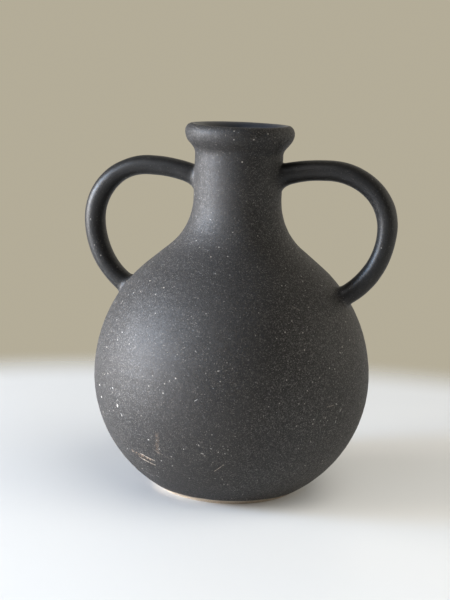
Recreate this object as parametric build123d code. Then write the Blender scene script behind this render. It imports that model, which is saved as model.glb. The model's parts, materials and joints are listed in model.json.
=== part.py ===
from build123d import *
import os
from math import asin, atan, cos, degrees, radians, sin, tan

# Two-handled clay vase: a round globe, a conical shoulder, a straight neck, a rolled
# rim collar and a pair of ear handles, luted together from separate clay pieces.
# Frame: origin at the centre of the foot on the table, +Z up, handles along X.
# Lengths in millimetres, angles in degrees.

# Globe: two half-ellipses of revolution that share one belly line.
belly_radius = 76.5
belly_height = 63.0          # height of the widest line above the table
lower_half_height = 73.2     # semi-axis of the lower half, cut off flat by the foot
upper_half_height = 79.2     # semi-axis of the upper half, a little fuller
globe_wall = 5.5

# Shoulder and neck.
shoulder_slope = 50.0        # of the cone between globe and neck, from the vertical
neck_radius = 24.0
neck_wall = 5.0
neck_sweep_radius = 36.0     # concave sweep from the shoulder cone into the neck

# Rim collar.
throat_height = 185.3        # where the neck's outside starts to flare
throat_radius = 6.0
flare_angle = 40.0
flare_length = 3.8
bulge_radius = 8.2
lip_width = 3.4              # from the collar's widest line in to the crest
lip_rise = 4.2               # from the collar's widest line up to the crest
bore_top = 191.0             # where the straight bore ends and opens towards the crest

# Foot.
floor_height = 7.0
foot_bevel = 0.8
recess_radius = 33.0
recess_depth = 1.2
recess_bevel = 0.6

# Seams between the thrown pieces.
base_seam_height = 3.5       # outer edge of the bevelled seam around the base slab
belly_groove_depth = 3.0     # V tongue on the shoulder, V groove in the bowl
neck_lap = 4.0               # half-lap of the neck inside the shoulder's opening
collar_lap_radius = 21.7     # the neck's tenon inside the collar

# Handles: four arcs that follow each other, over the crest, round the corner, down the side
# and back along the leg. The crest point is the highest point of the handle's centre line.
handle_width = 13.0          # across, parallel to Y
handle_overrun = 4.0         # how far the blank starts inside the neck before it is coped
corner_turn = 45.0           # the corner arc's share of the quarter turn after the crest
leg_turn = 66.0              # the leg arc's sweep, ending inside the globe's wall
left_form = dict(
    side=-1, crest_reach=50.8, crest_height=177.1, crest_radius=84.7,
    corner_radius=30.8, side_radius=31.3, leg_radius=44.5, thickness=11.4,
)
right_form = dict(
    side=1, crest_reach=50.7, crest_height=179.3, crest_radius=92.0,
    corner_radius=34.15, side_radius=27.15, leg_radius=45.2, thickness=10.6,
)

# Luting coils: wedges of clay pressed around each handle end.
coil_reach = 8.0             # along the handle, from the wall
coil_spread = 3.6            # beyond the handle, at the wall
coil_feather = 0.3           # beyond the handle, at the coil's thin end
coil_root = 5.0              # how far the blank runs into the wall before it is cut
neck_coil_drop = 1.6         # the neck coils are heavier below the handle

slope = radians(shoulder_slope)
shelf = 100.0                # any radius beyond the vase, for the outer end of a seam


def globe_arc(radius, half_height, start, end):
    """Half-ellipse of the globe between two angles counted up from the belly, in degrees."""
    centre = (0, belly_height)
    from_pole = 90 + start
    return EllipticalCenterArc(
        centre, half_height, radius, from_pole, arc_size=end - start, rotation=-90
    )


def wall_profile(globe_inset, neck_inset):
    """One face of the wall from the belly up to the straight neck, inset from the outside."""
    radius = belly_radius - globe_inset
    half_height = upper_half_height - globe_inset
    sweep_radius = neck_sweep_radius + neck_inset
    join = degrees(atan(tan(slope) * half_height / radius))
    globe = globe_arc(radius, half_height, 0, join)
    cone_end_radius = neck_radius - neck_inset + sweep_radius * (1 - cos(slope))
    cone_end_height = (globe @ 1).Y + ((globe @ 1).X - cone_end_radius) / tan(slope)
    cone = Line(globe @ 1, (cone_end_radius, cone_end_height))
    sweep_in = JernArc(cone @ 1, (-sin(slope), cos(slope)), sweep_radius, -shoulder_slope)
    return globe, cone, sweep_in


def lower_arc(inset, height):
    """The globe's lower half on one face of the wall, from a given height up to the belly."""
    half_height = lower_half_height - inset
    start = degrees(asin((height - belly_height) / half_height))
    return globe_arc(belly_radius - inset, half_height, start, 0)


def collar_profile(neck_top):
    """Outside of the collar from the neck up to its widest line, then over the lip's crest."""
    throat = JernArc(neck_top, (0, 1), throat_radius, -flare_angle)
    flare = Line(throat @ 1, (throat @ 1) + (throat % 1) * flare_length)
    bulge = JernArc(flare @ 1, flare % 1, bulge_radius, flare_angle)
    widest = bulge @ 1
    lip_centre = (widest.X - lip_width, widest.Y)
    lip = EllipticalCenterArc(lip_centre, lip_width, lip_rise, 0, arc_size=90)
    return throat, flare, bulge, lip


def inner_lip(crest):
    """Inside of the lip, from the crest down to the top of the bore."""
    bore_radius = neck_radius - neck_wall
    centre = (crest.X, bore_top)
    lip = EllipticalCenterArc(
        centre, crest.X - bore_radius, crest.Y - bore_top, 90, arc_size=90
    )
    return lip


def outer_edges():
    """Outside of the vase without its handles, from the foot's bevel to the lip's crest."""
    bowl = lower_arc(0, foot_bevel)
    globe, cone, sweep_in = wall_profile(0, 0)
    neck = Line(sweep_in @ 1, (neck_radius, throat_height))
    collar = collar_profile(neck @ 1)
    return [bowl, globe, cone, sweep_in, neck, *collar]


def inner_edges(crest):
    """Inside of the vase, from the lip's crest down to the middle of the floor."""
    globe, cone, sweep_in = wall_profile(globe_wall, neck_wall)
    bowl = lower_arc(globe_wall, floor_height)
    lip = inner_lip(crest)
    bore = Line(lip @ 1, sweep_in @ 1)
    floor = Line(bowl @ 0, (0, floor_height))
    return [lip, bore, sweep_in, cone, globe, bowl, floor]


def foot_edges(bowl_start):
    """Underside from the axis out: recess, rest ring and the bevel up to the bowl."""
    points = [
        (0, recess_depth),
        (recess_radius - recess_bevel, recess_depth),
        (recess_radius, 0),
        (bowl_start.X - foot_bevel, 0),
        bowl_start,
    ]
    return [Line(start, end) for start, end in zip(points, points[1:])]


def base_seam():
    """Bevelled seam from the floor's corner out to the foot."""
    corner = lower_arc(globe_wall, floor_height) @ 0
    edge = lower_arc(0, base_seam_height) @ 0
    return [(0, floor_height * 2), (corner.X, corner.Y), (edge.X, edge.Y), (shelf, edge.Y)]


def belly_seam():
    """V tongue and groove around the belly."""
    inner = belly_radius - globe_wall
    middle = belly_radius - globe_wall / 2
    return [
        (0, belly_height),
        (inner, belly_height),
        (middle, belly_height - belly_groove_depth),
        (belly_radius, belly_height),
        (shelf, belly_height),
    ]


def neck_seam():
    """Half-lap where the cone meets the neck: the neck's inner half drops inside the shoulder."""
    outside = wall_profile(0, 0)[1] @ 1
    along = Vector(-sin(slope), cos(slope))
    inward = Vector(-cos(slope), -sin(slope))
    step_top = outside + inward * (neck_wall / 2)
    step_bottom = step_top - along * neck_lap
    inside = step_bottom + inward * neck_wall
    return [
        (0, inside.Y),
        (inside.X, inside.Y),
        (step_bottom.X, step_bottom.Y),
        (step_top.X, step_top.Y),
        (outside.X, outside.Y),
        (shelf, outside.Y),
    ]


def collar_seam():
    """The neck's top is a tenon inside the collar, up to the end of the bore."""
    return [
        (0, bore_top),
        (collar_lap_radius, bore_top),
        (collar_lap_radius, throat_height),
        (shelf, throat_height),
    ]


def turned_pieces():
    """The five rings of clay that stack up into the vase."""
    outside = outer_edges()
    section = make_face(
        [
            *foot_edges(outside[0] @ 0),
            *outside,
            *inner_edges(outside[-1] @ 1),
            Line((0, floor_height), (0, recess_depth)),
        ]
    )
    ground = [(0, -floor_height), (shelf, -floor_height)]
    sky = [(0, 2 * bore_top), (shelf, 2 * bore_top)]
    seams = [ground, base_seam(), belly_seam(), neck_seam(), collar_seam(), sky]
    names = ["base", "bowl", "shoulder", "neck", "rim_collar"]
    pieces = {}
    for name, below, above in zip(names, seams, seams[1:]):
        band = make_face(Polyline(*below, *reversed(above), close=True))
        pieces[name] = revolve(Plane.XZ * (section & band), Axis.Z)
    return pieces


def outer_blank():
    """The vase as a filled solid, to cope the handles and coils against."""
    outside = outer_edges()
    foot = outside[0] @ 0
    crest = outside[-1] @ 1
    closing = Polyline(crest, (0, crest.Y), (0, foot.Y), foot)
    return revolve(Plane.XZ * make_face([*outside, closing]), Axis.Z)


def handle_path(form):
    """Centre line of a handle in the XZ plane, from inside the neck to inside the globe."""
    reach = form["crest_reach"]
    height = form["crest_height"]
    crest_radius = form["crest_radius"]
    side = form["side"]
    start_reach = neck_radius - handle_overrun
    rise = asin((reach - start_reach) / crest_radius)
    start_height = height - crest_radius * (1 - cos(rise))
    crest = JernArc(
        (side * start_reach, start_height),
        (side * cos(rise), sin(rise)),
        crest_radius,
        -side * degrees(rise),
    )
    bends = [crest]
    for radius, turn in (
        (form["corner_radius"], corner_turn),
        (form["side_radius"], 90 - corner_turn),
        (form["leg_radius"], leg_turn),
    ):
        before = bends[-1]
        bends.append(JernArc(before @ 1, before % 1, radius, -side * turn))
    return Plane.XZ * Wire(bends)


def oval_at(origin, direction, half_width, half_height):
    """Oval face across a handle: half_width parallel to Y, half_height in the handle's plane."""
    plane = Plane(origin=origin, x_dir=(0, 1, 0), z_dir=direction)
    return plane * Ellipse(half_width, half_height)


def handle_blank(form, path):
    """Handle as a strap of even oval section, with ends still inside the wall."""
    section = oval_at(path @ 0, path % 0, handle_width / 2, form["thickness"] / 2)
    return sweep(section, path=path)


def coil_blank(form, wall_point, away, drop):
    """Cone of clay round a handle end, from inside the wall out to a thin edge."""
    half_width = handle_width / 2
    half_height = form["thickness"] / 2
    root_spread = coil_feather + (coil_spread - coil_feather) * (1 + coil_root / coil_reach)
    root_point = wall_point - away * coil_root - Vector(0, 0, drop)
    root = oval_at(root_point, away, half_width + root_spread, half_height + root_spread)
    tip_point = wall_point + away * coil_reach
    tip = oval_at(tip_point, away, half_width + coil_feather, half_height + coil_feather)
    return loft([root, tip])


def handle_pieces(form, blank):
    """A coped handle with its neck coil and its globe coil."""
    path = handle_path(form)
    strap = handle_blank(form, path)
    bare = path - blank
    neck_end = bare @ 0
    globe_end = bare @ 1
    neck_cone = coil_blank(form, neck_end, bare % 0, neck_coil_drop)
    globe_cone = coil_blank(form, globe_end, -(bare % 1), 0)
    return strap - blank, neck_cone - strap - blank, globe_cone - strap - blank


def build():
    pieces = turned_pieces()
    blank = outer_blank()
    for side_name, form in (("left", left_form), ("right", right_form)):
        handle, neck_coil, globe_coil = handle_pieces(form, blank)
        pieces[f"{side_name}_handle"] = handle
        pieces[f"{side_name}_neck_coil"] = neck_coil
        pieces[f"{side_name}_globe_coil"] = globe_coil
    os.makedirs("parts", exist_ok=True)
    for name, piece in pieces.items():
        export_step(piece, f"parts/{name}.step")


build()
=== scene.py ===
import json
from math import atan, cos, degrees, pi, radians, sin, tan

import bpy
import numpy as np
from mathutils import Matrix, Vector


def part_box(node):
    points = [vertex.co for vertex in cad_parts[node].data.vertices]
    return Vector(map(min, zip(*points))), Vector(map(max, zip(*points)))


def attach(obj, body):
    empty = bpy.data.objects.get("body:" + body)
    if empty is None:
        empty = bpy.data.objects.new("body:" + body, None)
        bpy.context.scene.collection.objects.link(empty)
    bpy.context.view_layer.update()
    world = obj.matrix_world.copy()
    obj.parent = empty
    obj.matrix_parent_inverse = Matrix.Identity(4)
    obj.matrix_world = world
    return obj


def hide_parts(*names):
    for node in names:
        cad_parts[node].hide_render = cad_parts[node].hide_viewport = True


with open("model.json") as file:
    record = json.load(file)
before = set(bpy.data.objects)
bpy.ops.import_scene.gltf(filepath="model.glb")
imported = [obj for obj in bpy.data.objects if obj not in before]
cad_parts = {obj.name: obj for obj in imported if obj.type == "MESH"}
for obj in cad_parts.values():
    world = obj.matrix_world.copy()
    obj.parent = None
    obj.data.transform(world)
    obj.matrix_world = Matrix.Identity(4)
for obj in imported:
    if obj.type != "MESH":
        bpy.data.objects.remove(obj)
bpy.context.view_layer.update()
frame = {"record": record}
scene = bpy.context.scene

# ---- Dimensions, in millimetres. The first group is read from the frame ----

MM = 0.001                       # one millimetre in Blender's metres


def mm(node, corner, axis):
    """One coordinate of a CAD node's box: corner 0 is the lowest, 1 the highest."""
    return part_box(node)[corner][axis] / MM


belly_radius = mm("bowl", 1, 0)
belly_height = mm("bowl", 1, 2)
vase_height = mm("rim_collar", 1, 2)
throat_height = mm("rim_collar", 0, 2)
floor_height = mm("base", 1, 2)
neck_bore = next(m for m in frame["record"]["mounts"] if m["name"] == "neck_bore")
bore_radius = neck_bore["dims"]["r_mm"]
bore_top = mm("neck", 1, 2)
handle_width = mm("left_handle", 1, 1) - mm("left_handle", 0, 1)

# The rest repeats the CAD's driving dimensions.
lower_half_height = 73.2
upper_half_height = 79.2
globe_wall = 5.5
neck_wall = 5.0
shoulder_slope = radians(50.0)
neck_sweep_radius = 36.0
throat_radius = 6.0
flare_angle = radians(40.0)
flare_length = 3.8
bulge_radius = 8.2
lip_width = 3.4
lip_rise = 4.2
foot_bevel = 0.8
recess_radius = 33.0
recess_depth = 1.2
recess_bevel = 0.6
base_seam_height = 3.5
belly_groove_depth = 3.0
neck_lap = 4.0
collar_lap_radius = 21.7
handle_overrun = 4.0
corner_turn = radians(45.0)
leg_turn = radians(66.0)
neck_radius = bore_radius + neck_wall

# Handles: arcs that follow each other over the crest, round the corner, down the side and back
# along the leg. Their thickness is given at even stations from the neck end to the globe end.
# The reaches are how far each luting coil runs along the handle: below, above and at its sides.
left_form = dict(
    side=-1, crest_reach=50.8, crest_height=177.1, crest_radius=84.7,
    corner_radius=30.8, side_radius=31.3, leg_radius=44.5,
    thickness=(10.8, 10.6, 10.5, 11.4, 11.2, 11.0, 11.3),
    neck_reach=(7.5, 2.0, 4.0), globe_reach=(4.0, 4.0, 4.0),
)
right_form = dict(
    side=1, crest_reach=50.7, crest_height=179.3, crest_radius=92.0,
    corner_radius=34.15, side_radius=27.15, leg_radius=45.2,
    thickness=(12.6, 11.2, 11.3, 11.1, 10.6, 10.8, 10.6),
    neck_reach=(7.0, 2.2, 4.0), globe_reach=(4.5, 4.0, 4.5),
)
oval_fullness = 2.15             # 2 is an ellipse, more is a fuller section
end_depth = 0.4                  # how far a handle's ends reach under the pot's surface
cap_shares = (0.7, 0.4, 0.15)    # sizes of the rings that close a handle's end

# Luting coils. Their hidden faces run in under the foot, past the root and back to the thin start.
coil_foot_share = 0.6            # a coil's reach over the pot as a share of its reach on the handle
coil_feather = 0.06              # how far a coil's thin foot lies under the pot's surface
under_foot_share = 0.5
under_foot_depth = 0.5
under_root_share = 0.93
under_root_depth = 0.6
under_start_share = 0.12

# Traces of making. Lumps are rows of size and height in mm and a seed.
oval_wobble = 0.22               # out of round with two high sides
three_wobble = 0.12              # out of round with three high sides
hand_lumps = [(21, 0.10, 1), (9, 0.05, 2), (2.4, 0.030, 3)]
inside_lumps = [(14, 0.12, 4)]
clay_lumps = [(3, 0.04, 6)]
handle_lumps = [(17, 0.16, 11), (6, 0.07, 12)]
handle_lump_radius = 6.0         # half-thickness at which the handles' lumps have their height
turning_height = 0.022
finger_ring_pitch = 5.0
finger_ring_height = 0.22
floor_spiral_height = 0.30
knife_ring_pitch = 1.3
knife_ring_height = 0.03
bare_clay_depth = 0.07
glaze_thickness = 0.18
glaze_step_width = 0.4
glaze_edge_height = 2.9
glaze_edge_waves = [(3, 0.12, 0.5), (7, 0.10, 2.1), (17, 0.06, 4.0)]   # count, height, start
dent_depth = 0.2                 # of the strongest marks of use
dent_reach = 0.5                 # a dent's least half-width, since the mesh shows none narrower
dent_edge = 1.6                  # where a dent ends, in half-widths from its middle

# Mesh density.
around = 512                     # vertices around every turned piece
outer_step = 0.8
collar_step = 0.5
inner_step = 1.8
foot_step = 0.2
recess_step = 0.3
seam_step = 1.0
handle_around = 96
handle_step = 0.9
coil_rows = 13
dense_step = 0.1                 # for outlines and lines before they are resampled
lap_samples = 200                # for finding where the half-lap meets the inside
crossing_samples = 400           # for finding where a handle comes out of the pot

# Marks of use on the outside: angle about Z in degrees from the right handle and height of
# the centre, half-length, half-width, tilt from level in degrees, and strength from 0 to 1.
chips = [
    (-146.0, 60.4, 0.35, 0.40, 0, 1.0),
    (-132.2, 63.2, 0.35, 0.25, 40, 0.8),
    (-134.0, 62.2, 0.30, 0.15, 40, 0.5),
    (-144.0, 54.3, 0.35, 0.45, 0, 1.0),
    (-128.5, 57.8, 0.35, 0.20, 70, 0.6),
    (-127.0, 61.5, 0.20, 0.20, 0, 0.5),
    (-128.8, 54.4, 0.35, 0.42, 80, 1.0),
    (-145.8, 45.1, 0.30, 0.25, 70, 0.8),
    (-145.4, 42.4, 0.20, 0.20, 0, 0.6),
    (-126.5, 50.1, 0.60, 0.35, 60, 0.4),
    (-112.3, 40.1, 0.15, 0.30, 0, 0.8),
    (-108.2, 28.5, 0.15, 0.28, 0, 0.7),
    (-102.2, 32.5, 0.15, 0.25, 0, 0.6),
    (-127.7, 17.4, 0.35, 0.35, 0, 0.6),
    (-125.3, 15.5, 0.60, 0.30, 15, 0.25),
    (-122.2, 14.8, 1.20, 0.30, 20, 0.25),
    (-116.9, 15.8, 0.50, 0.35, 20, 0.3),
    (-90.2, 66.4, 0.80, 0.16, -35, 0.8),
    (-89.1, 41.9, 0.40, 0.18, 70, 0.7),
    (-87.9, 37.0, 0.60, 0.18, 10, 0.8),
    (-84.1, 40.5, 0.15, 0.25, 0, 0.8),
    (-77.2, 40.4, 0.15, 0.22, 0, 0.7),
    (-78.4, 38.0, 0.15, 0.22, 0, 0.7),
    (-82.9, 21.5, 0.15, 0.22, 0, 0.6),
    (-78.6, 17.6, 0.15, 0.22, 0, 0.6),
    (-30.5, 61.3, 0.50, 0.30, 30, 0.5),
    (-27.5, 57.3, 0.60, 0.40, -60, 0.4),
    (-29.4, 53.4, 0.30, 0.20, 0, 0.5),
    (-29.6, 51.2, 0.45, 0.20, 85, 0.8),
    (-38.6, 53.8, 0.15, 0.22, 0, 0.6),
    (-47.2, 198.6, 0.15, 0.25, 0, 0.6),
]
scratches = [
    (-116.6, 28.4, 5.0, 0.26, 15, 0.8),
    (-117.6, 25.2, 5.0, 0.26, 15, 0.7),
    (-106.7, 32.8, 5.8, 0.16, 23, 0.25),
    (-80.9, 28.7, 3.6, 0.18, -47, 0.7),
    (-34.0, 61.0, 2.5, 0.16, -2, 0.5),
    (-45.0, 111.2, 2.2, 0.16, 35, 0.35),
]
scuffs = [
    (-118.5, 28.0, 5.5, 0.45, 13, 0.8),
    (-118.5, 25.8, 4.5, 0.40, 22, 0.7),
    (-124.9, 29.0, 1.4, 0.60, 40, 0.6),
    (-108.0, 39.2, 6.0, 0.90, -80, 0.28),
]

# The black glaze. Its grain is 1 on the pot and less on the handles.
cloud_size = 30.0                # slow drift between the dark and the light tone
glaze_dark = (0.038, 0.035, 0.033, 1)
glaze_light = (0.055, 0.052, 0.049, 1)
sugar_size = 0.46                # grains, most of them dark and a few light
sugar_darkest = 0.54
sugar_gain = 2.4
sugar_power = 4
grain_tilt = 0.6                 # how far the grains face away from the true surface
skin_tilt = 0.24                 # how far the skin over them does
skin_ior = 1.42
skin_roughness = (0.56, 0.60)
coarse_size = 1.9                # low bumps, a few grains wide
coarse_height = 0.015
handle_grain = 0.45
handle_thin_glaze_and_painted_shade = 0.35              # how much darker the glaze is on the handles: partly thinner glaze, partly painted shade
handle_gloss = 0.78              # how much less rough it is there
rim_painted_shade = 0.75                 # painted shade: how much darker the glaze is painted around the collar and over the tops of the handles
rim_painted_shade_start = 165.0          # height where that painted shade begins
speck_colour = (0.42, 0.39, 0.35, 1)
speck_patch_size = 22.0          # specks crowd together in patches
speck_crowd = (0.4, 0.8)         # share of the cells that hold a speck
fine_speck_cell = 1.1
fine_speck_radius = (0.14, 0.28)
fine_speck_strength = 0.4
bright_speck_cell = 3.2
bright_speck_radius = (0.18, 0.42)
speck_fade_start = 110.0         # height from which the specks get fewer
speck_fade_end = 165.0
speck_fade = 0.45                # share of them that is left there

# Worn places, the glossy inside and the bare clay.
fleck_size = 0.9                 # gaps in scuffs and scratches
shake_size = 0.83333             # of the raggedness of their edges
chip_colour = (0.70, 0.67, 0.62, 1)
scrape_colour = (0.62, 0.54, 0.45, 1)
scuff_colour = (0.36, 0.25, 0.17, 1)
# Tones of the glossy inside; their blue tint is a painted reflection of the blue sky light.
inside_dark_painted_sky_tint = (0.020, 0.022, 0.027, 1)
inside_light_painted_sky_tint = (0.040, 0.043, 0.051, 1)
inside_roughness = (0.34, 0.42)
clay_dark = (0.54, 0.44, 0.33, 1)
clay_light = (0.70, 0.59, 0.47, 1)
clay_roughness = 0.85
sand_size = 0.6
iron_colour = (0.10, 0.055, 0.03, 1)
glaze_edge_softness = 0.12

# Table, light and camera. Light sizes and distances are in metres, angles in degrees.
floor_radius = 1500.0
floor_sides = 64
floor_cool = (0.595, 0.605, 0.61, 1)
floor_warm = (0.62, 0.615, 0.60, 1)
floor_bounce = 0.72              # how much darker the table is to everything but the camera
floor_fade_start = 225.0         # the camera sees the table fade out behind the vase
floor_fade_end = 330.0
backdrop_colour = (0.455, 0.415, 0.315, 1)
bright_side = (145.0, 10.0)      # azimuth and elevation of the brighter side of the room
room_dim = 0.06
room_bright = 0.70
room_colour = (1.0, 0.94, 0.82, 1)
light_distance = 1.3             # from the middle of the vase
camera_azimuth = 13.0
camera_distance = 736.3          # level distance from the vase's axis
camera_height = 243.9
camera_pitch = 10.72             # looking down
camera_aim = 0.386               # looking left of the axis
camera_roll = 2.0
camera_lens = 81.0
camera_sensor = 36.0


# ---- Outlines of the turned pieces, as rows of radius, height and outward normal ----

def arc(centre, radii, start, end):
    """Points along an elliptical arc between two angles in degrees."""
    length = max(radii) * abs(radians(end - start))
    angle = np.radians(np.linspace(start, end, max(2, int(length / dense_step))))
    return np.c_[centre[0] + radii[0] * np.cos(angle), centre[1] + radii[1] * np.sin(angle)]


def straight(start, end, step=dense_step):
    """Points along a straight stretch, both ends included."""
    start, end = np.array(start, float), np.array(end, float)
    count = max(2, int(np.linalg.norm(end - start) / step) + 1)
    return start + (end - start) * np.linspace(0, 1, count)[:, None]


def joined(*stretches):
    """One run of points from stretches that follow each other."""
    points = np.concatenate(stretches)
    gaps = np.linalg.norm(np.diff(points, axis=0), axis=1)
    return points[np.r_[True, gaps > 1e-6]]


def with_normals(points, side=1):
    """Adds unit normals to a run of points: side 1 is to the right of the way it runs."""
    along = np.gradient(points, axis=0)
    normals = side * np.c_[along[:, 1], -along[:, 0]]
    return np.c_[points, normals / np.linalg.norm(normals, axis=1)[:, None]]


def globe_and_shoulder(globe_inset, neck_inset, start_height):
    """One face of the wall from near the foot up to the straight neck, set in from the outside."""
    radius = belly_radius - globe_inset
    lower = lower_half_height - globe_inset
    upper = upper_half_height - globe_inset
    start = degrees(np.arcsin((start_height - belly_height) / lower))
    join = degrees(atan(tan(shoulder_slope) * upper / radius))
    bowl = arc((0, belly_height), (radius, lower), start, 0)
    globe = arc((0, belly_height), (radius, upper), 0, join)
    sweep_radius = neck_sweep_radius + neck_inset
    centre_radius = neck_radius - neck_inset + sweep_radius
    cone_end_radius = centre_radius - sweep_radius * cos(shoulder_slope)
    cone_rise = (globe[-1][0] - cone_end_radius) / tan(shoulder_slope)
    cone = straight(globe[-1], (cone_end_radius, globe[-1][1] + cone_rise))
    centre = (centre_radius, cone[-1][1] + sweep_radius * sin(shoulder_slope))
    sweep_in = arc(centre, (sweep_radius, sweep_radius), 180 + degrees(shoulder_slope), 180)
    return joined(bowl, globe, cone, sweep_in), cone[-1]


def collar_outside():
    """Outside of the collar from the neck over the throat, flare and bulge to the crest."""
    turn = degrees(flare_angle)
    throat_centre = (neck_radius + throat_radius, throat_height)
    throat = arc(throat_centre, (throat_radius, throat_radius), 180, 180 - turn)
    flare_run = np.array([sin(flare_angle), cos(flare_angle)]) * flare_length
    flare = straight(throat[-1], throat[-1] + flare_run)
    bulge_centre = flare[-1] - bulge_radius * np.array([cos(flare_angle), -sin(flare_angle)])
    bulge = arc(bulge_centre, (bulge_radius, bulge_radius), -turn, 0)
    lip_centre = bulge[-1] - np.array([lip_width, 0])
    lip = arc(lip_centre, (lip_width, lip_rise), 0, 90)
    return joined(throat, flare, bulge, lip)


def make_outlines():
    """The whole outer outline, the whole inner outline and the outer neck seam point."""
    lower_outside, neck_seam_point = globe_and_shoulder(0, 0, foot_bevel)
    neck_outside = straight(lower_outside[-1], (neck_radius, throat_height))
    collar = collar_outside()
    outer = joined(lower_outside, neck_outside, collar)
    crest = collar[-1]
    lower_inside, _ = globe_and_shoulder(globe_wall, neck_wall, floor_height)
    bore = straight(lower_inside[-1], (bore_radius, bore_top))
    lip_radii = (crest[0] - bore_radius, crest[1] - bore_top)
    inner_lip = arc((crest[0], bore_top), lip_radii, 180, 90)
    inner = joined(lower_inside, bore, inner_lip)
    return with_normals(outer), with_normals(inner, side=-1), neck_seam_point


outer_outline, inner_outline, neck_seam_point = make_outlines()


def point_at(outline, height):
    """Radius and height of a rising outline at one height."""
    return np.array([np.interp(height, outline[:, 1], outline[:, 0]), height])


def stretch(outline, low, high, step):
    """Evenly spaced rows of a rising outline between two heights."""
    run = np.r_[0, np.cumsum(np.linalg.norm(np.diff(outline[:, :2], axis=0), axis=1))]
    start, end = np.interp((low, high), outline[:, 1], run)
    even = np.linspace(start, end, max(2, int(round((end - start) / step)) + 1))
    return np.stack([np.interp(even, run, column) for column in outline.T], -1)


# ---- Relief: what makes the surface hand-made ----

def lattice_values(cells, seed):
    """A fixed random value from -1 to 1 for each whole-numbered cell corner, from its low bits."""
    mixed = cells[..., 0] * 73856093 ^ cells[..., 1] * 19349663 ^ cells[..., 2] * 83492791
    mixed = (mixed ^ (seed * 2654435761)) & 0xFFFFFFFF
    with np.errstate(over="ignore"):
        mixed = (mixed ^ (mixed >> 15)) * 2246822519 & 0xFFFFFFFF
        mixed = (mixed ^ (mixed >> 13)) * 3266489917 & 0xFFFFFFFF
    return (mixed ^ (mixed >> 16)) / 0x7FFFFFFF - 1.0


def smooth(amount):
    """Eases a share from 0 to 1, flat at both ends."""
    amount = np.clip(amount, 0, 1)
    return amount * amount * (3 - 2 * amount)


def lumps(points, size, seed):
    """Smooth random field over space, from -1 to 1, with lumps of about the given size."""
    scaled = points / size
    corner = np.floor(scaled).astype(np.int64)
    part = smooth(scaled - corner)
    total = np.zeros(points.shape[:-1])
    for offset in np.ndindex(2, 2, 2):
        weight = np.prod(np.where(offset, part, 1 - part), axis=-1)
        total += weight * lattice_values(corner + np.array(offset), seed)
    return total


def polar(points):
    """Angle about Z, distance from Z and height of each point."""
    x, y, height = np.moveaxis(points, -1, 0)
    return np.arctan2(y, x), np.hypot(x, y), height


def lump_sum(points, fields):
    """Several random fields on top of each other, in mm."""
    return sum(height * lumps(points, size, seed) for size, height, seed in fields)


def hand_relief(points):
    """How far the thrown outside stands proud of the true outline, in mm."""
    angle, radius, height = polar(points)
    wobble = oval_wobble * np.cos(2 * angle + 0.8) + three_wobble * np.cos(3 * angle - height / 35)
    turning = turning_height * np.sin(height + angle)
    return wobble * radius / belly_radius + turning + lump_sum(points, hand_lumps)


def mark_frame(mark):
    """Middle of a mark on the finished surface, and the unit direction it runs in."""
    angle, height, _, _, tilt, strength = mark
    angle = radians(angle)
    radius, _ = point_at(outer_outline, height)
    rise = point_at(outer_outline, height + 0.5) - point_at(outer_outline, height - 0.5)
    rise = rise / np.linalg.norm(rise)
    outline_point = np.array([radius * cos(angle), radius * sin(angle), height])
    normal = np.array([rise[1] * cos(angle), rise[1] * sin(angle), -rise[0]])
    centre = outline_point + normal * (hand_relief(outline_point) - dent_depth * strength)
    level = np.array([-sin(angle), cos(angle), 0])
    upward = np.array([rise[0] * cos(angle), rise[0] * sin(angle), rise[1]])
    return centre, level * cos(radians(tilt)) - upward * sin(radians(tilt))


def mark_dents(points):
    """Depth of all the chips and scratches at each point."""
    depth = np.zeros(points.shape[:-1])
    for mark in chips + scratches:
        centre, direction = mark_frame(mark)
        _, _, half_length, half_width, _, strength = mark
        away = points - centre
        along = np.clip(away @ direction, -half_length, half_length)
        distance = np.linalg.norm(away - along[..., None] * direction, axis=-1)
        near = smooth(dent_edge - distance / max(half_width, dent_reach))
        depth = np.maximum(depth, dent_depth * strength * near)
    return depth


def outer_relief(points):
    """How far the finished outside stands proud of the true outline, in mm."""
    return hand_relief(points) - mark_dents(points)


def inner_relief(points):
    """Finger rings left inside by turning, in mm. They fade into the outside at the crest."""
    angle, _, height = polar(points)
    rings = finger_ring_height * np.sin(2 * pi * height / finger_ring_pitch + angle)
    inside = rings + lump_sum(points, inside_lumps)
    near_crest = smooth((height - bore_top) / (vase_height - bore_top))
    return inside * (1 - near_crest) + outer_relief(points) * near_crest


def floor_relief(points):
    """Spiral that the potter's finger left on the floor inside, fading out at its corner."""
    angle, radius, _ = polar(points)
    turns = radius / finger_ring_pitch
    corner, _ = point_at(inner_outline, floor_height)
    spiral = floor_spiral_height * np.sin(2 * pi * turns - angle)
    return spiral * smooth(turns) * smooth(corner / finger_ring_pitch - turns)


def glaze_edge(angle):
    """Height above the table where the glaze ends, as a sum of waves around the foot."""
    waves = sum(size * np.sin(count * angle + start) for count, size, start in glaze_edge_waves)
    return glaze_edge_height + waves


def foot_relief(points):
    """Bare clay lies lower than the glaze beside it, and the knife left shallow rings in it."""
    angle, radius, height = polar(points)
    bare = smooth((glaze_edge(angle) - height) / glaze_step_width + 0.5)
    rings = knife_ring_height * np.sin(2 * pi * radius / knife_ring_pitch)
    knife = rings + lump_sum(points, clay_lumps) - bare_clay_depth
    stepped = knife - glaze_thickness * smooth(height / foot_bevel)
    return outer_relief(points) * (1 - bare) + stepped * bare


def pot_radius(points):
    """Radius of the finished outside at each point's angle and height."""
    angle, _, height = polar(points)
    radius = np.interp(height, outer_outline[:, 1], outer_outline[:, 0])
    on_wall = np.stack([radius * np.cos(angle), radius * np.sin(angle), height], axis=-1)
    return radius + outer_relief(on_wall)


# ---- Turned pieces ----

OUTSIDE, INSIDE, CLAY = 0, 1, 2  # material numbers on the turned pieces


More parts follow.
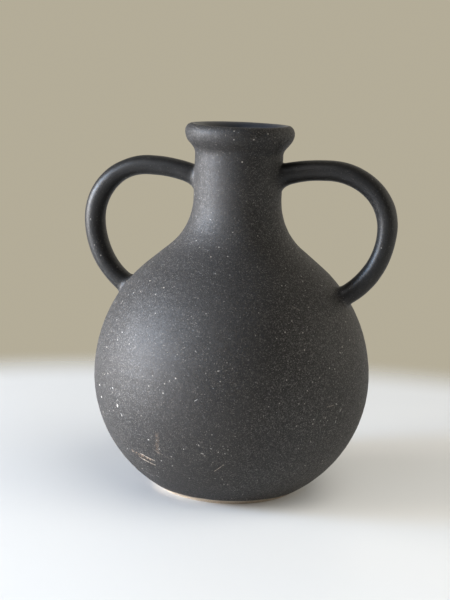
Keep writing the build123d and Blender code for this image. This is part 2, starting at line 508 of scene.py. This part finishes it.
def make_mesh(name, points, faces):
    """A smooth-shaded mesh object from points in mm."""
    mesh = bpy.data.meshes.new(name)
    mesh.from_pydata((points * MM).tolist(), [], faces)
    mesh.polygons.foreach_set("use_smooth", np.ones(len(mesh.polygons), bool))
    piece = bpy.data.objects.new(name, mesh)
    scene.collection.objects.link(piece)
    return piece


def grid_faces(rows, columns, close_rows):
    """Quads of a grid of points whose columns wrap round, row after row."""
    row = np.arange(rows if close_rows else rows - 1)[:, None]
    column = np.arange(columns)[None, :]
    next_row = (row + 1) % rows
    next_column = (column + 1) % columns
    corners = [
        row * columns + column,
        row * columns + next_column,
        next_row * columns + next_column,
        next_row * columns + column,
    ]
    return np.stack(corners, -1).reshape(-1, 4)


def end_fans(rows, columns):
    """Triangles from the first and the last row of a grid to two middle points that follow it."""
    first_middle, last_middle = rows * columns, rows * columns + 1
    last = (rows - 1) * columns
    faces = []
    for j in range(columns):
        k = (j + 1) % columns
        faces.append([first_middle, k, j])
        faces.append([last_middle, last + j, last + k])
    return faces


def mark_sharp_rows(piece, columns, is_sharp):
    """Makes every edge that runs along a sharp row of the grid a sharp one."""
    mesh = piece.data
    ends = np.empty(len(mesh.edges) * 2, np.int64)
    mesh.edges.foreach_get("vertices", ends)
    rows = np.minimum(ends.reshape(-1, 2) // columns, len(is_sharp) - 1)
    sharp = (rows[:, 0] == rows[:, 1]) & np.asarray(is_sharp)[rows[:, 0]]
    attribute = mesh.attributes.new("sharp_edge", "BOOLEAN", "EDGE")
    attribute.data.foreach_set("value", sharp)


def set_grain(piece, values):
    """How granular the glaze is at each point: 1 on the thrown pot, less on the handles, where it
    also makes the glaze darker, partly as painted shade.
    """
    attribute = piece.data.attributes.new("grain", "FLOAT", "POINT")
    every = np.broadcast_to(values, len(piece.data.vertices))
    attribute.data.foreach_set("value", every.astype(np.float32))


def turned_rings(rows, relief):
    """Rings of points, one for each outline row, moved along the row's normal by the relief."""
    angle = np.linspace(0, 2 * pi, around, endpoint=False)
    way = np.stack([np.cos(angle), np.sin(angle)], -1)
    points = np.empty((len(rows), around, 3))
    points[..., :2] = rows[:, 0, None, None] * way
    points[..., 2] = rows[:, 1, None]
    if relief:
        lift = relief(points)
        points[..., :2] += (lift * rows[:, 2, None])[..., None] * way
        points[..., 2] += lift * rows[:, 3, None]
    return points


def hidden_run(*corners):
    """Rows along a seam between its first and last corner, which belong to its neighbours."""
    points = joined(*[straight(a, b, seam_step) for a, b in zip(corners, corners[1:])])[1:-1]
    return np.c_[points, np.zeros_like(points)], None, CLAY


def outside_run(low, high):
    """Rows up the glazed outside."""
    return stretch(outer_outline, low, high, outer_step), outer_relief, OUTSIDE


def inside_run(high, low):
    """Rows down the glossy inside."""
    return stretch(inner_outline, low, high, inner_step)[::-1], inner_relief, INSIDE


def turned_piece(name, runs, closed=True):
    """A turned piece from runs of rows that follow each other round its cross-section."""
    rings = np.concatenate([turned_rings(rows, relief) for rows, relief, _ in runs])
    material = np.concatenate([np.full(len(rows), number) for rows, _, number in runs])
    hidden = np.concatenate([np.full(len(rows), relief is None) for rows, relief, _ in runs])
    count = len(rings)
    points = rings.reshape(-1, 3)
    faces = grid_faces(count, around, closed).tolist()
    following = np.roll(np.arange(count), -1)
    band_hidden = hidden | hidden[following]
    band_material = np.where(band_hidden, CLAY, material[following])
    face_material = np.repeat(band_material[: count if closed else count - 1], around)
    if not closed:
        points = np.concatenate([points, [rings[0].mean(axis=0), rings[-1].mean(axis=0)]])
        faces += end_fans(count, around)
        face_material = np.r_[face_material, np.tile([material[0], material[-1]], around)]
    piece = make_mesh(name, points, faces)
    piece.data.polygons.foreach_set("material_index", face_material.astype(np.int32))
    mark_sharp_rows(piece, around, hidden | np.roll(hidden, 1) | np.roll(hidden, -1))
    set_grain(piece, 1.0)
    return piece


def base_runs():
    """The base slab from the middle of its underside out, up to the seam and in over the floor."""
    foot_radius, _ = point_at(outer_outline, foot_bevel)
    ring_edge = foot_radius - foot_bevel
    recess_edge = (recess_radius - recess_bevel, recess_depth)
    recess = straight((inner_step, recess_depth), recess_edge, inner_step)
    step_down = straight(recess_edge, (recess_radius, 0), recess_step)
    rest_ring = straight((recess_radius, 0), (ring_edge, 0), outer_step)
    bevel = straight((ring_edge, 0), (foot_radius, foot_bevel), foot_step)
    underside = with_normals(joined(recess, step_down, rest_ring, bevel)[:-1])
    outside = stretch(outer_outline, foot_bevel, base_seam_height, foot_step)
    corner = point_at(inner_outline, floor_height)
    floor_points = straight(corner, (inner_step, floor_height), inner_step)
    return [
        (underside, foot_relief, OUTSIDE),
        (outside, foot_relief, OUTSIDE),
        hidden_run(outside[-1][:2], corner),
        (with_normals(floor_points), floor_relief, INSIDE),
    ]


def bowl_runs():
    """From the base seam up to the groove around the belly, and down the inside."""
    foot = point_at(outer_outline, base_seam_height)
    corner = point_at(inner_outline, floor_height)
    return [
        outside_run(base_seam_height, belly_height),
        hidden_run(*belly_seam()),
        inside_run(belly_height, floor_height),
        hidden_run(corner, foot),
    ]


def belly_seam():
    """Groove in the bowl's top edge that the shoulder's tongue sits in, from outside to inside."""
    middle = (belly_radius - globe_wall / 2, belly_height - belly_groove_depth)
    return [(belly_radius, belly_height), middle, (belly_radius - globe_wall, belly_height)]


def neck_seam():
    """Half-lap where the cone meets the neck, from outside to inside."""
    along = np.array([-sin(shoulder_slope), cos(shoulder_slope)])
    inward = np.array([-cos(shoulder_slope), -sin(shoulder_slope)])
    step_top = neck_seam_point + inward * neck_wall / 2
    step_bottom = step_top - along * neck_lap
    beyond = step_bottom + inward * neck_wall
    line = np.linspace(step_bottom, beyond, lap_samples)
    gap = line[:, 0] - np.interp(line[:, 1], inner_outline[:, 1], inner_outline[:, 0])
    inside = line[np.argmin(abs(gap))]
    return [neck_seam_point, step_top, step_bottom, inside]


def collar_seam():
    """The neck's tenon inside the collar, from outside to inside."""
    return [
        (neck_radius, throat_height),
        (collar_lap_radius, throat_height),
        (collar_lap_radius, bore_top),
        (bore_radius, bore_top),
    ]


def shoulder_runs():
    """From the tongue around the belly up to the half-lap, and down the inside."""
    lap = neck_seam()
    return [
        outside_run(belly_height, lap[0][1]),
        hidden_run(*lap),
        inside_run(lap[-1][1], belly_height),
        hidden_run(*reversed(belly_seam())),
    ]


def neck_runs():
    """From the half-lap up to the tenon, and down the inside."""
    lap = neck_seam()
    return [
        outside_run(lap[0][1], throat_height),
        hidden_run(*collar_seam()),
        inside_run(bore_top, lap[-1][1]),
        hidden_run(*reversed(lap)),
    ]


def collar_runs():
    """From the throat over the crest into the mouth, and back round the neck's tenon."""
    outside = stretch(outer_outline, throat_height, vase_height, collar_step)
    inside = stretch(inner_outline, bore_top, vase_height, collar_step)[::-1]
    return [
        (outside, outer_relief, OUTSIDE),
        (inside[1:], inner_relief, INSIDE),
        hidden_run(*reversed(collar_seam())),
    ]


# ---- Handles and the coils of clay around their ends ----

def handle_line(form):
    """Dense points and outward directions along a handle's centre line, from neck to globe."""
    rise = np.arcsin((form["crest_reach"] - neck_radius + handle_overrun) / form["crest_radius"])
    arcs = [
        (form["crest_radius"], -rise, 0),
        (form["corner_radius"], 0, corner_turn),
        (form["side_radius"], corner_turn, pi / 2),
        (form["leg_radius"], pi / 2, pi / 2 + leg_turn),
    ]
    centre = np.array([form["crest_reach"], form["crest_height"] - form["crest_radius"]])
    last_radius = form["crest_radius"]
    points, outward = [], []
    for radius, start, end in arcs:
        centre = centre + (last_radius - radius) * np.array([sin(start), cos(start)])
        last_radius = radius
        turn = np.linspace(start, end, 2 + int((end - start) * radius / dense_step))[:-1]
        way = np.stack([np.sin(turn), np.cos(turn)], -1)
        points.append(centre + radius * way)
        outward.append(way)
    flat = np.stack([np.concatenate(points), np.concatenate(outward)])
    return np.stack([form["side"] * flat[..., 0], 0 * flat[..., 0], flat[..., 1]], -1)


class Handle:
    """The surface of one handle: a point for each run along it and each angle round it."""

    def __init__(self, form):
        self.form = form
        self.line, self.outward = handle_line(form)
        steps = np.linalg.norm(np.diff(self.line, axis=0), axis=1)
        self.run = np.r_[0, np.cumsum(steps)]
        self.angle = np.linspace(0, 2 * pi, handle_around, endpoint=False)
        share = np.linspace(0, 0.5, crossing_samples) * self.run[-1]
        every = np.broadcast_to(self.angle, (len(share), handle_around))
        near_neck = self.surface(np.broadcast_to(share[:, None], every.shape), every)
        near_globe = self.surface(np.broadcast_to(self.run[-1] - share[:, None], every.shape), every)
        self.neck_run = self.crossing(near_neck, share)
        self.globe_run = self.run[-1] - self.crossing(near_globe, share)

    def crossing(self, points, share):
        """Run where each line along the handle comes out of the pot."""
        proud = polar(points)[1] - pot_radius(points)
        out = np.argmax(proud > 0, axis=0)
        column = np.arange(handle_around)
        before, after = proud[out - 1, column], proud[out, column]
        return share[out - 1] + (share[out] - share[out - 1]) * before / (before - after)

    def thickness(self, run):
        """Thickness in the handle's plane, eased from station to station."""
        stations = self.form["thickness"]
        place = np.clip(run / self.run[-1], 0, 1) * (len(stations) - 1)
        before = np.minimum(place.astype(int), len(stations) - 2)
        stations = np.array(stations)
        return stations[before] + (stations[before + 1] - stations[before]) * smooth(place - before)

    def surface(self, run, angle):
        """Points on the handle. Angle 0 faces +Y and a quarter turn is the outer side of the bend."""
        centre = np.stack([np.interp(run, self.run, c) for c in self.line.T], -1)
        out = np.stack([np.interp(run, self.run, c) for c in self.outward.T], -1)
        across = np.array([0.0, 1.0, 0.0])
        thickness = self.thickness(run)
        c, s = np.cos(angle), np.sin(angle)
        power = 2 / oval_fullness
        u = np.sign(c) * np.abs(c) ** power * handle_width / 2
        v = np.sign(s) * np.abs(s) ** power * thickness / 2
        way = u[..., None] * across + v[..., None] * out
        grown = 1 + lump_sum(centre + way, handle_lumps) / handle_lump_radius
        return centre + way * grown[..., None]


def sunk(points, depth):
    """The same points pulled to the given depth under the outside of the pot."""
    scale = (pot_radius(points) - depth) / polar(points)[1]
    return np.concatenate([points[..., :2] * scale[..., None], points[..., 2:]], -1)


def end_cap(ring):
    """Rings that close a handle's end just under the pot's surface, and their middle point."""
    middle = ring.mean(axis=0)
    rings = [sunk(middle + (ring - middle) * share, end_depth) for share in cap_shares]
    return rings, sunk(middle[None], end_depth)


def handle_piece(name, handle):
    """The handle between its two ends, which reach just under the pot's surface."""
    length = (handle.globe_run - handle.neck_run).max()
    share = np.linspace(0, 1, int(length / handle_step))[:, None]
    run = handle.neck_run + (handle.globe_run - handle.neck_run) * share
    rings = handle.surface(run, np.broadcast_to(handle.angle, run.shape))
    rings[0] = sunk(rings[0], end_depth)
    rings[-1] = sunk(rings[-1], end_depth)
    neck_rings, neck_middle = end_cap(rings[0])
    globe_rings, globe_middle = end_cap(rings[-1])
    every = np.concatenate([neck_rings[::-1], rings, globe_rings])
    count = len(every)
    points = np.concatenate([every.reshape(-1, 3), neck_middle, globe_middle])
    faces = grid_faces(count, handle_around, False).tolist() + end_fans(count, handle_around)
    if handle.form["side"] < 0:
        faces = [face[::-1] for face in faces]
    piece = make_mesh(name, points, faces)
    sharp = np.zeros(count, bool)
    sharp[[len(neck_rings), count - 1 - len(globe_rings)]] = True
    mark_sharp_rows(piece, handle_around, sharp)
    set_grain(piece, handle_grain)
    return piece


def coil_piece(name, handle, at_neck):
    """Fillet of clay from the handle out onto the pot, as a closed ring with hidden faces."""
    form = handle.form
    root_run = handle.neck_run if at_neck else handle.globe_run
    away = 1 if at_neck else -1
    root = handle.surface(root_run, handle.angle)
    below, above, sides = form["neck_reach" if at_neck else "globe_reach"]
    lower = np.clip(-np.sin(handle.angle), 0, 1)
    upper = np.clip(np.sin(handle.angle), 0, 1)
    reach = sides + (below - sides) * lower + (above - sides) * upper
    start = handle.surface(root_run + away * reach, handle.angle)
    middle = root.mean(axis=0)
    spread = root - middle
    spread = spread / np.linalg.norm(spread, axis=1)[:, None]
    spread = spread * (reach * coil_foot_share)[:, None]
    foot = sunk(root + spread, coil_feather)
    share = np.linspace(0, 1, coil_rows)[:, None, None]
    fillet = (1 - share) ** 2 * start + 2 * share * (1 - share) * root + share**2 * foot
    under_foot = sunk(root + spread * under_foot_share, under_foot_depth)
    under_root = sunk(middle + (root - middle) * under_root_share, under_root_depth)
    under_start = start + (middle - root) * under_start_share
    rings = np.concatenate([fillet, [under_foot, under_root, under_start]])
    faces = grid_faces(len(rings), handle_around, True).tolist()
    if (form["side"] > 0) == at_neck:
        faces = [face[::-1] for face in faces]
    piece = make_mesh(name, rings.reshape(-1, 3), faces)
    sharp = np.zeros(len(rings), bool)
    sharp[0] = True
    sharp[coil_rows - 1:] = True
    mark_sharp_rows(piece, handle_around, sharp)
    fillet_grain = handle_grain + (1 - handle_grain) * smooth(np.linspace(0, 1, coil_rows))
    row_grain = np.r_[fillet_grain, 1, 1, handle_grain]
    set_grain(piece, np.repeat(row_grain, handle_around))
    return piece


# ---- Materials ----

class Nodes:
    """The node tree of a material or a world, with short calls that add nodes and wire them up."""

    def __init__(self, owner):
        self.owner = owner
        owner.use_nodes = True
        self.tree = owner.node_tree
        self.tree.nodes.clear()
        coordinates = self.tree.nodes.new("ShaderNodeTexCoord").outputs["Object"]
        self.place = self.vector("SCALE", coordinates, Scale=1 / MM)

    def add(self, kind, settings=None, **inputs):
        """A new node. Settings are its own options, inputs are values or sockets by name."""
        node = self.tree.nodes.new("ShaderNode" + kind)
        for name, value in (settings or {}).items():
            setattr(node, name, value)
        for name, value in inputs.items():
            self.plug(node.inputs[name.replace("_", " ")], value)
        return node

    def plug(self, socket, value):
        """Links a socket to another, or sets its value."""
        if isinstance(value, bpy.types.NodeSocket):
            self.tree.links.new(value, socket)
        else:
            socket.default_value = value

    def math(self, operation, *values):
        """A sum with numbers."""
        node = self.add("Math", dict(operation=operation))
        for socket, value in zip(node.inputs, values):
            self.plug(socket, value)
        return node.outputs[0]

    def vector(self, operation, *values, **inputs):
        """A vector sum. Its result is a number for DOT_PRODUCT and DISTANCE, else a vector."""
        node = self.add("VectorMath", dict(operation=operation), **inputs)
        for socket, value in zip(node.inputs, values):
            self.plug(socket, value)
        number = operation in ("DOT_PRODUCT", "DISTANCE")
        return node.outputs["Value" if number else "Vector"]

    def ramp(self, value, low, high, to_low=0.0, to_high=1.0):
        """Eases a value from to_low at low to to_high at high."""
        node = self.add("MapRange", dict(interpolation_type="SMOOTHSTEP"), Value=value)
        names = ("From Min", "From Max", "To Min", "To Max")
        for name, number in zip(names, (low, high, to_low, to_high)):
            self.plug(node.inputs[name], number)
        return node.outputs["Result"]

    def noise(self, size, detail=2.0, output="Fac"):
        """Cloudy noise from 0 to 1 with features of about the given size in mm."""
        node = self.add("TexNoise", Vector=self.place, Scale=1 / size, Detail=detail)
        return node.outputs[output]

    def cells(self, size):
        """Cells of about the given size in mm: distance to the middle, and a random vector."""
        node = self.add("TexVoronoi", Vector=self.place, Scale=1 / size)
        return self.math("MULTIPLY", node.outputs["Distance"], size), node.outputs["Color"]

    def split(self, vector):
        """The three numbers of a vector or a colour."""
        return self.add("SeparateXYZ", Vector=vector).outputs

    def specks(self, size, share, radii):
        """Round dots: one in each of a share of the cells, with a random radius in mm."""
        distance, random = self.cells(size)
        chance, scale, _ = self.split(random)
        radius = self.ramp(scale, 0, 1, *radii)
        inside = self.ramp(self.math("DIVIDE", distance, radius), 0.7, 1.2, 1, 0)
        return self.math("MULTIPLY", inside, self.math("LESS_THAN", chance, share))

    def centred(self, random):
        """A random vector with its numbers from -0.5 to 0.5 instead of from 0 to 1."""
        return self.vector("SUBTRACT", random, (0.5, 0.5, 0.5))

    def shaken(self, distance):
        """The place on the object, moved about at random by up to about a distance in mm."""
        shake = self.scaled(self.centred(self.noise(shake_size, output="Color")), 2 * distance)
        return self.vector("ADD", self.place, shake)

    def blend(self, kind, share, first, second):
        """A value between two others. The kind is VALUE for numbers and RGBA for colours."""
        node = self.add("Mix", dict(data_type="FLOAT" if kind == "VALUE" else "RGBA"))
        self.plug(node.inputs["Factor"], share)
        for name, value in (("A", first), ("B", second)):
            socket = next(s for s in node.inputs if s.name == name and s.type == kind)
            self.plug(socket, value)
        return next(s for s in node.outputs if s.type == kind)

    def mix(self, share, first, second):
        """Blends two colours."""
        return self.blend("RGBA", share, first, second)

    def scaled(self, colour, amount):
        """A colour or vector times a number."""
        return self.vector("SCALE", colour, Scale=amount)

    def bump(self, height, distance, normal=None):
        """Surface normal from a height from 0 to 1 that stands for a distance in mm."""
        node = self.add("Bump", Height=height, Distance=distance * MM)
        if normal:
            self.plug(node.inputs["Normal"], normal)
        return node.outputs["Normal"]

    def surface(self, **inputs):
        """The shader of a surface, not yet joined to the output."""
        return self.add("BsdfPrincipled", **inputs).outputs["BSDF"]

    def layered(self, share, first, second):
        """A blend of two shaders."""
        node = self.add("MixShader", Fac=share)
        self.plug(node.inputs[1], first)
        self.plug(node.inputs[2], second)
        return node.outputs["Shader"]

    def finish(self, shader, output="OutputMaterial"):
        """Joins a shader to the output and gives back the material or world."""
        self.add(output, Surface=shader)
        return self.owner


def material_nodes(name):
    """The node tree of a new material."""
    return Nodes(bpy.data.materials.new(name))


def mark_mask(nodes, place, mark, soft):
    """A mark's strength inside it, fading to 0 at its edge."""
    centre, direction = mark_frame(mark)
    _, _, half_length, half_width, _, strength = mark
    away = nodes.vector("SUBTRACT", place, tuple(centre))
    run = nodes.vector("DOT_PRODUCT", away, tuple(direction))
    run = nodes.math("MINIMUM", nodes.math("MAXIMUM", run, -half_length), half_length)
    gap = nodes.vector("DISTANCE", away, nodes.scaled(tuple(direction), run))
    return nodes.ramp(gap, half_width * (1 - soft), half_width * (1 + soft), strength, 0)


def worn(nodes, marks, soft, raggedness):
    """The strongest of several marks at each point, with ragged edges."""
    place = nodes.shaken(raggedness)
    total = 0.0
    for mark in marks:
        total = nodes.math("MAXIMUM", total, mark_mask(nodes, place, mark, soft))
    return total


def glaze_dust(nodes, height):
    """Pale specks in the glaze, crowded in patches and fewer towards the neck."""
    crowd = nodes.ramp(nodes.noise(speck_patch_size), 0.35, 0.65, *speck_crowd)
    fewer = nodes.ramp(height, speck_fade_start, speck_fade_end, 1, speck_fade)
    crowd = nodes.math("MULTIPLY", crowd, fewer)
    fine = nodes.specks(fine_speck_cell, crowd, fine_speck_radius)
    fine = nodes.math("MULTIPLY", fine, fine_speck_strength)
    return nodes.math("MAXIMUM", fine, nodes.specks(bright_speck_cell, crowd, bright_speck_radius))


def glaze_colours(nodes, grain):
    """Colour, roughness, normal of the grains and normal of the skin of the black glaze."""
    _, random = nodes.cells(sugar_size)
    chance, _, _ = nodes.split(random)
    _, _, height = nodes.split(nodes.place)
    sugar = nodes.math("POWER", chance, sugar_power)
    sugar = nodes.math("MULTIPLY_ADD", sugar, sugar_gain, sugar_darkest)
    colour = nodes.mix(nodes.noise(cloud_size, 3), glaze_dark, glaze_light)
    colour = nodes.scaled(colour, nodes.blend("VALUE", grain, 1, sugar))
    # The handles are painted darker: partly their thinner glaze, partly painted shade.
    colour = nodes.scaled(colour, nodes.ramp(grain, handle_grain, 1, handle_thin_glaze_and_painted_shade, 1))
    # Painted shade: the glaze is painted darker with height up to the throat, on the collar and the
    # handle tops alike.
    colour = nodes.scaled(colour, nodes.ramp(height, rim_painted_shade_start, throat_height, 1, rim_painted_shade))
    colour = nodes.mix(nodes.math("MULTIPLY", glaze_dust(nodes, height), grain), colour, speck_colour)
    coarse = nodes.noise(coarse_size)
    roughness = nodes.ramp(coarse, 0.3, 0.7, *skin_roughness)
    smoother = nodes.ramp(grain, handle_grain, 1, handle_gloss, 1)
    roughness = nodes.math("MULTIPLY", roughness, smoother)
    tilt = nodes.scaled(nodes.centred(random), grain)
    smooth_normal = nodes.add("NewGeometry").outputs["Normal"]
    normals = []
    for amount in (grain_tilt, skin_tilt):
        tilted = nodes.vector("ADD", smooth_normal, nodes.scaled(tilt, amount))
        normals.append(nodes.bump(coarse, coarse_height, nodes.vector("NORMALIZE", tilted)))
    return colour, roughness, *normals


def satin(nodes, colour, roughness, normal, skin_normal):
    """Granular colour under a thin, more even satin skin, which makes the highlights."""
    return nodes.surface(
        Base_Color=colour, Normal=normal, Roughness=roughness, Specular_IOR_Level=0.0,
        Coat_Weight=1.0, Coat_IOR=skin_ior, Coat_Roughness=roughness, Coat_Normal=skin_normal,
    )


def outer_glaze():
    """Matte black glaze outside, with chips and scratches worn through to the pale clay."""
    nodes = material_nodes("matte_black_glaze")
    grain = nodes.add("Attribute", dict(attribute_name="grain")).outputs["Fac"]
    colour, *rest = glaze_colours(nodes, grain)
    fleck = nodes.noise(fleck_size)
    scuffed = nodes.math("MULTIPLY", worn(nodes, scuffs, 0.9, 0.8), nodes.ramp(fleck, 0.44, 0.56))
    scraped = nodes.math("MULTIPLY", worn(nodes, scratches, 0.7, 0.15), nodes.ramp(fleck, 0.30, 0.52))
    colour = nodes.mix(scuffed, colour, scuff_colour)
    colour = nodes.mix(scraped, colour, scrape_colour)
    colour = nodes.mix(worn(nodes, chips, 0.4, 0.15), colour, chip_colour)
    return nodes.finish(satin(nodes, colour, *rest))


def inner_glaze():
    """The same glaze where it pooled and melted smooth inside: darker and glossier."""
    nodes = material_nodes("glossy_black_glaze")
    # The blue tint of these tones is a painted reflection of the blue sky light.
    colour = nodes.mix(nodes.noise(12, 3), inside_dark_painted_sky_tint, inside_light_painted_sky_tint)
    roughness = nodes.ramp(nodes.noise(3), 0.3, 0.7, *inside_roughness)
    normal = nodes.bump(nodes.noise(1.6), 0.05)
    return nodes.finish(nodes.surface(Base_Color=colour, Roughness=roughness, Normal=normal))


def bare_clay(nodes):
    """The shader of bare fired clay, sandy and with a few dark spots of iron."""
    sand = nodes.noise(sand_size, 3)
    colour = nodes.mix(nodes.noise(14, 3), clay_dark, clay_light)
    colour = nodes.scaled(colour, nodes.ramp(sand, 0.25, 0.75, 0.75, 1.2))
    colour = nodes.mix(nodes.specks(3.0, 0.4, (0.1, 0.3)), colour, iron_colour)
    return nodes.surface(Base_Color=colour, Roughness=clay_roughness, Normal=nodes.bump(sand, 0.12))


def plain_clay():
    """Bare clay on the faces inside the wall, where the pieces meet."""
    nodes = material_nodes("bare_clay")
    return nodes.finish(bare_clay(nodes))


def foot_finish():
    """Glaze that ends in a wavy line just above the table, with bare clay below it."""
    nodes = material_nodes("glaze_over_bare_clay")
    x, y, height = nodes.split(nodes.place)
    angle = nodes.math("ARCTAN2", y, x)
    edge = glaze_edge_height
    for count, size, start in glaze_edge_waves:
        wave = nodes.math("SINE", nodes.math("MULTIPLY_ADD", angle, count, start))
        edge = nodes.math("MULTIPLY_ADD", wave, size, edge)
    above = nodes.math("SUBTRACT", height, edge)
    glazed = nodes.ramp(above, -glaze_edge_softness, glaze_edge_softness)
    glaze = satin(nodes, *glaze_colours(nodes, 1.0))
    return nodes.finish(nodes.layered(glazed, bare_clay(nodes), glaze))


def floor_finish():
    """Pale table that the camera sees fade into the backdrop, some way behind the vase."""
    nodes = material_nodes("pale_floor")
    across = nodes.vector("MULTIPLY", nodes.add("NewGeometry").outputs["Incoming"], (-1, -1, 0))
    behind = nodes.vector("DOT_PRODUCT", nodes.vector("NORMALIZE", across), nodes.place)
    seen = nodes.add("LightPath").outputs["Is Camera Ray"]
    tint = nodes.mix(nodes.noise(160), floor_cool, floor_warm)
    tint = nodes.scaled(tint, nodes.blend("VALUE", seen, floor_bounce, 1.0))
    table = nodes.surface(Base_Color=tint, Roughness=0.45, Normal=nodes.bump(nodes.noise(40), 0.02))
    fade = nodes.math("MULTIPLY", nodes.ramp(behind, floor_fade_start, floor_fade_end), seen)
    return nodes.finish(nodes.layered(fade, table, nodes.add("BsdfTransparent").outputs["BSDF"]))


# ---- The object ----

def finished(piece, slot, *materials):
    """Gives a piece its materials and its body, and hides the CAD node. The slot is not used."""
    for material in materials:
        piece.data.materials.append(material)
    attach(piece, "root")
    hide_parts(piece.name.removesuffix("_mesh"))


glaze, gloss, clay, foot = outer_glaze(), inner_glaze(), plain_clay(), foot_finish()
base = turned_piece("base_mesh", base_runs(), closed=False)
finished(base, "bare_clay", foot, gloss, clay)
glazed = dict(bowl=bowl_runs, shoulder=shoulder_runs, neck=neck_runs, rim_collar=collar_runs)
for name, make_runs in glazed.items():
    piece = turned_piece(f"{name}_mesh", make_runs())
    finished(piece, "matte_black_glaze", glaze, gloss, clay)

for side_name, form in (("left", left_form), ("right", right_form)):
    handle = Handle(form)
    finished(handle_piece(f"{side_name}_handle_mesh", handle), "smooth_black_glaze", glaze)
    for place in ("neck", "globe"):
        coil = coil_piece(f"{side_name}_{place}_coil_mesh", handle, place == "neck")
        finished(coil, "smooth_black_glaze", glaze)


# ---- Floor, light and camera ----

def make_floor():
    """A wide round table top."""
    angle = np.linspace(0, 2 * pi, floor_sides, endpoint=False)
    edge = floor_radius * np.stack([np.cos(angle), np.sin(angle), 0 * angle], -1)
    floor = make_mesh("floor", edge, [list(range(floor_sides))])
    floor.data.materials.append(floor_finish())
    return floor


def towards(azimuth, elevation):
    """Unit vector from the vase, with the azimuth measured as for the camera."""
    turn, rise = radians(azimuth), radians(elevation)
    return Vector((sin(turn) * cos(rise), -cos(turn) * cos(rise), sin(rise)))


def make_world():
    """Even warm backdrop for the camera; to everything else a dim room with a brighter side."""
    nodes = Nodes(bpy.data.worlds.new("studio"))
    scene.world = nodes.owner
    way = nodes.add("TexCoord").outputs["Generated"]
    facing = nodes.vector("DOT_PRODUCT", way, tuple(towards(*bright_side)))
    strength = nodes.ramp(facing, 0, 1, room_dim, room_bright)
    room = nodes.add("Background", Color=room_colour, Strength=strength).outputs["Background"]
    backdrop = nodes.add("Background", Color=backdrop_colour).outputs["Background"]
    seen = nodes.add("LightPath").outputs["Is Camera Ray"]
    nodes.finish(nodes.layered(seen, room, backdrop), "OutputWorld")


def make_light(name, azimuth, elevation, size, power, colour, only=None):
    """A soft panel that faces the vase, and lights one thing only if that is given."""
    way = towards(azimuth, elevation)
    data = bpy.data.lights.new(name, "AREA")
    data.shape = "RECTANGLE"
    data.size, data.size_y = size
    data.energy = power
    data.color = colour
    lamp = bpy.data.objects.new(name, data)
    lamp.location = Vector((0, 0, belly_height * MM)) + way * light_distance
    lamp.rotation_mode = "QUATERNION"
    lamp.rotation_quaternion = way.to_track_quat("Z", "Y")
    lamp.visible_camera = False
    scene.collection.objects.link(lamp)
    if only:
        lit = bpy.data.collections.new(name)
        lit.objects.link(only)
        lamp.light_linking.receiver_collection = lit


def make_camera():
    """Camera a little above the rim, right of the front, with a slight roll."""
    turn = radians(camera_azimuth)
    data = bpy.data.cameras.new("camera")
    data.sensor_width = camera_sensor
    data.lens = camera_lens
    camera = bpy.data.objects.new("camera", data)
    place = Vector((sin(turn) * camera_distance, -cos(turn) * camera_distance, camera_height)) * MM
    camera.matrix_world = (
        Matrix.Translation(place)
        @ Matrix.Rotation(turn + radians(camera_aim), 4, "Z")
        @ Matrix.Rotation(radians(90 - camera_pitch), 4, "X")
        @ Matrix.Rotation(radians(camera_roll), 4, "Z")
    )
    scene.collection.objects.link(camera)
    scene.camera = camera


floor = make_floor()
make_world()
make_light("window", -70, 9, (0.9, 0.6), 42, (1.0, 0.94, 0.89))
make_light("sky", -67, 18, (0.3, 0.3), 14, (0.28, 0.58, 1.0))
make_light("ceiling", -35, 42, (0.9, 0.9), 4.3, (0.97, 0.98, 1.0))
make_light("side_wall", 100, 15, (1.0, 1.0), 2.1, (1.0, 1.0, 0.92))
make_light("table_light", 62, 50, (1.5, 1.5), 19, (1.0, 0.98, 0.93), only=floor)
make_camera()
scene.view_settings.view_transform = "Standard"
